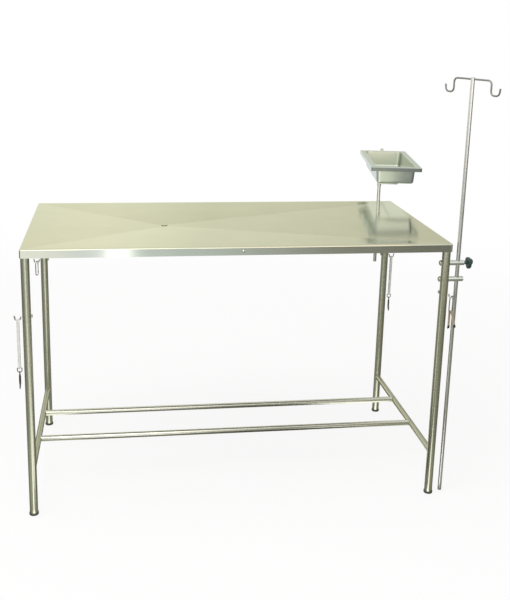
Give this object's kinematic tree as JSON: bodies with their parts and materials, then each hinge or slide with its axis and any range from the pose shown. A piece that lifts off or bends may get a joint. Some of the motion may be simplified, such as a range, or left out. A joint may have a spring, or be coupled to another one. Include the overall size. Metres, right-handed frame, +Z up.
{
  "type": "veterinary examination table",
  "caption": "Steel examination table with a creased, drained top on tube legs, a sliding infusion pole, a swivelling instrument tray, and tie hooks with clips and straps.",
  "frame": {"origin": "middle of the front left foot, on the floor", "axes": "+X along the table's length to the right, +Y towards the back, +Z up"},
  "size_m": [1.4898, 1.1298, 1.3549],
  "materials": {
    "polished_steel": "polished sheet, finely brushed",
    "tube_steel": "polished tube",
    "pole_steel": "polished bar and tube",
    "tray_steel": "pressed and polished sheet",
    "bright_steel": "bright turned and bent parts",
    "dark_steel": "dark tarnished wire",
    "foot_plastic": "moulded, matte",
    "knob_plastic": "moulded, slightly glossy",
    "grey_webbing": "woven webbing",
    "tan_webbing": "woven webbing with dark ends"
  },
  "bodies": {
    "table": {"top_panel": "polished_steel", "drain_spigot": "tube_steel", "front_left_leg": "tube_steel", "front_right_leg": "tube_steel", "rear_left_leg": "tube_steel", "rear_right_leg": "tube_steel", "front_left_foot": "foot_plastic", "front_right_foot": "foot_plastic", "rear_left_foot": "foot_plastic", "rear_right_foot": "foot_plastic", "front_left_tie_hook": "bright_steel", "front_right_tie_hook": "bright_steel", "rear_left_tie_hook": "bright_steel", "rear_right_tie_hook": "bright_steel", "front_left_tie_hook_nut": "bright_steel", "front_right_tie_hook_nut": "bright_steel", "rear_left_tie_hook_nut": "bright_steel", "rear_right_tie_hook_nut": "bright_steel", "front_upper_rail": "tube_steel", "rear_upper_rail": "tube_steel", "left_upper_rail": "tube_steel", "right_upper_rail": "tube_steel", "left_lower_rail": "tube_steel", "right_lower_rail": "tube_steel", "front_stretcher": "tube_steel", "rear_stretcher": "tube_steel", "front_skirt_screw": "bright_steel", "rear_skirt_screw": "bright_steel", "upper_pole_arm": "bright_steel", "upper_pole_arm_nut": "bright_steel", "lower_pole_arm": "bright_steel", "lower_pole_arm_nut": "bright_steel", "upper_post_arm": "bright_steel", "upper_post_arm_nut": "bright_steel", "lower_post_arm": "bright_steel", "lower_post_arm_nut": "bright_steel", "front_left_strap": "grey_webbing", "front_left_ring": "dark_steel", "front_left_end_hook": "dark_steel", "rear_right_strap": "grey_webbing", "rear_right_ring": "dark_steel", "rear_right_end_hook": "dark_steel"},
    "pole": {"iv_pole": "pole_steel"},
    "pole_top": {"pole_head": "pole_steel", "hook_bar": "pole_steel"},
    "pole_clamp": {"pole_clamp_screw": "bright_steel", "pole_clamp_knob": "knob_plastic"},
    "post": {"tray_post": "pole_steel"},
    "tray": {"tray_carrier": "tray_steel", "instrument_tray": "tray_steel"},
    "post_clamp": {"post_clamp_screw": "bright_steel", "post_clamp_knob": "knob_plastic"},
    "rear_clip": {"rear_left_clip": "bright_steel"},
    "rear_gate": {"rear_left_clip_gate": "bright_steel"},
    "front_clip": {"front_right_clip": "bright_steel", "front_right_strap": "tan_webbing"},
    "front_gate": {"front_right_clip_gate": "bright_steel"}
  },
  "joints": [
    {"name": "pole_slide", "type": "slide", "parent": "table", "child": "pole", "axis": [0, 0, 1], "range_m": [0, 0.6]},
    {"name": "pole_turn", "type": "hinge", "parent": "pole", "child": "pole_top", "pos_m": [1.31, 0, 1.35], "axis": [0, 0, 1], "continuous": true},
    {"name": "pole_knob_turn", "type": "hinge", "parent": "table", "child": "pole_clamp", "pos_m": [1.3325, 0, 0.787], "axis": [1, 0, 0], "continuous": true},
    {"name": "post_slide", "type": "slide", "parent": "table", "child": "post", "axis": [0, 0, 1], "range_m": [-0.045, 0.08]},
    {"name": "tray_swivel", "type": "hinge", "parent": "post", "child": "tray", "pos_m": [1.23945, 0.64392, 0.9], "axis": [0, 0, 1], "continuous": true},
    {"name": "post_knob_turn", "type": "hinge", "parent": "table", "child": "post_clamp", "pos_m": [1.22125, 0.65715, 0.787], "axis": [-0.809, 0.5878, 0], "continuous": true},
    {"name": "rear_clip_swing", "type": "hinge", "parent": "table", "child": "rear_clip", "pos_m": [-0.0262, 0.621, 0.6345], "axis": [1, 0, 0], "range_deg": [-60, 60]},
    {"name": "rear_gate_hinge", "type": "hinge", "parent": "rear_clip", "child": "rear_gate", "pos_m": [-0.02263, 0.62771, 0.60345], "axis": [0.8829, -0.4695, 0], "range_deg": [0, 25], "stiffness_Nm_per_rad": 0.02, "springref_deg": -5.73},
    {"name": "front_clip_swing", "type": "hinge", "parent": "table", "child": "front_clip", "pos_m": [1.29246, -0.01503, 0.6785], "axis": [0.8192, -0.5736, 0], "range_deg": [-60, 7]},
    {"name": "front_gate_hinge", "type": "hinge", "parent": "front_clip", "child": "front_gate", "pos_m": [1.29904, -0.01123, 0.64745], "axis": [0.5, -0.866, 0], "range_deg": [0, 25], "stiffness_Nm_per_rad": 0.02, "springref_deg": -5.73}
  ]
}
